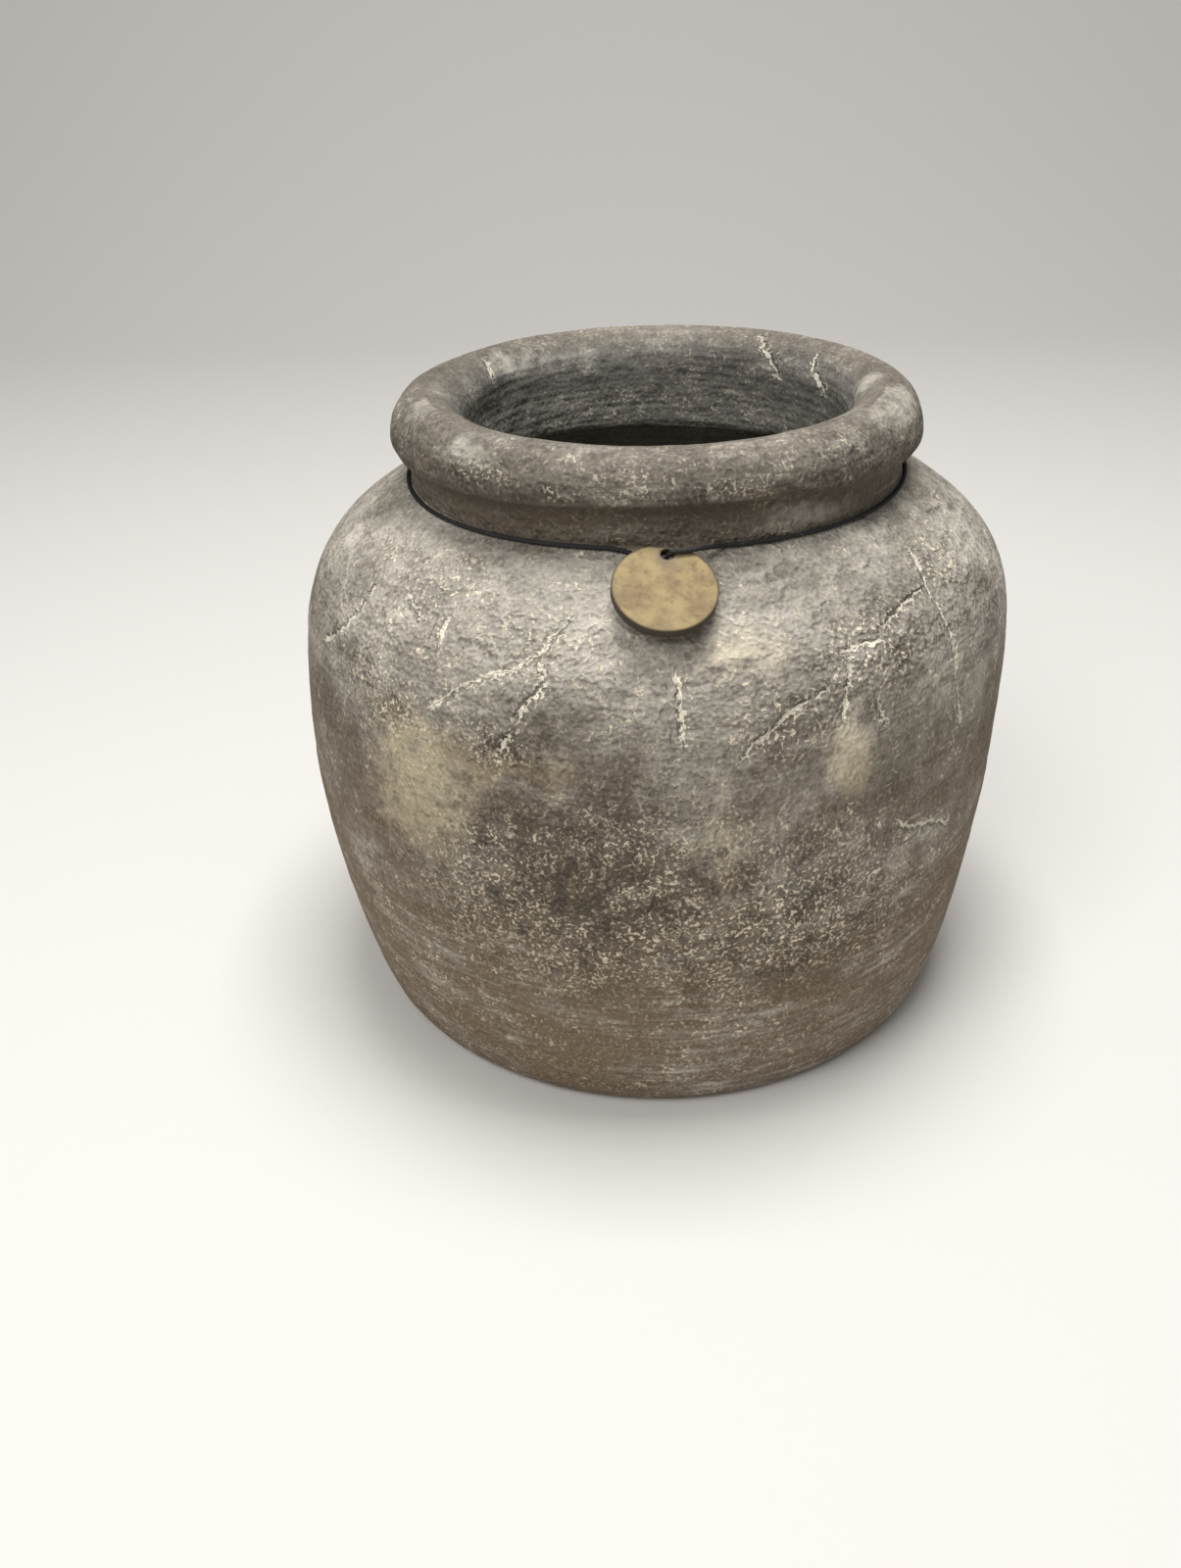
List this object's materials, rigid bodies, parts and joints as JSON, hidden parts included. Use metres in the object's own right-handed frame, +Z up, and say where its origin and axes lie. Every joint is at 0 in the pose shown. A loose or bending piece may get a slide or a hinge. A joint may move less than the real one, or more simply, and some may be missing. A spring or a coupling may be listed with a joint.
{
  "type": "earthenware jar",
  "caption": "Wide-mouthed hand-thrown earthenware storage jar with a thick rolled rim, a thin cord tied round its neck and a round tag threaded on the cord.",
  "frame": {"origin": "the middle of the flat foot, on the surface that the jar stands on, under the middle of the bounding box", "axes": "+Z up out of the mouth, -Y towards the front, where the tag hangs, +X to the right seen from the front"},
  "size_m": [0.2506, 0.2506, 0.2224],
  "materials": {
    "clay": "matt weathered unglazed clay with a pale grey wash, lime cracks and throwing lines",
    "black_cord": "dull black twisted cord",
    "tan_board": "satin tan board face with a scorched dark brown edge"
  },
  "bodies": {
    "jar": {"vessel": "clay", "neck_cord": "black_cord"},
    "tag": {"tag": "tan_board"}
  },
  "joints": [
    {"name": "tag_lift", "type": "hinge", "parent": "jar", "child": "tag", "pos_m": [0.00601, -0.09034, 0.19442], "axis": [-0.9993, -0.0366, 0], "range_deg": [0, 110], "deforming": ["neck_cord"]}
  ]
}
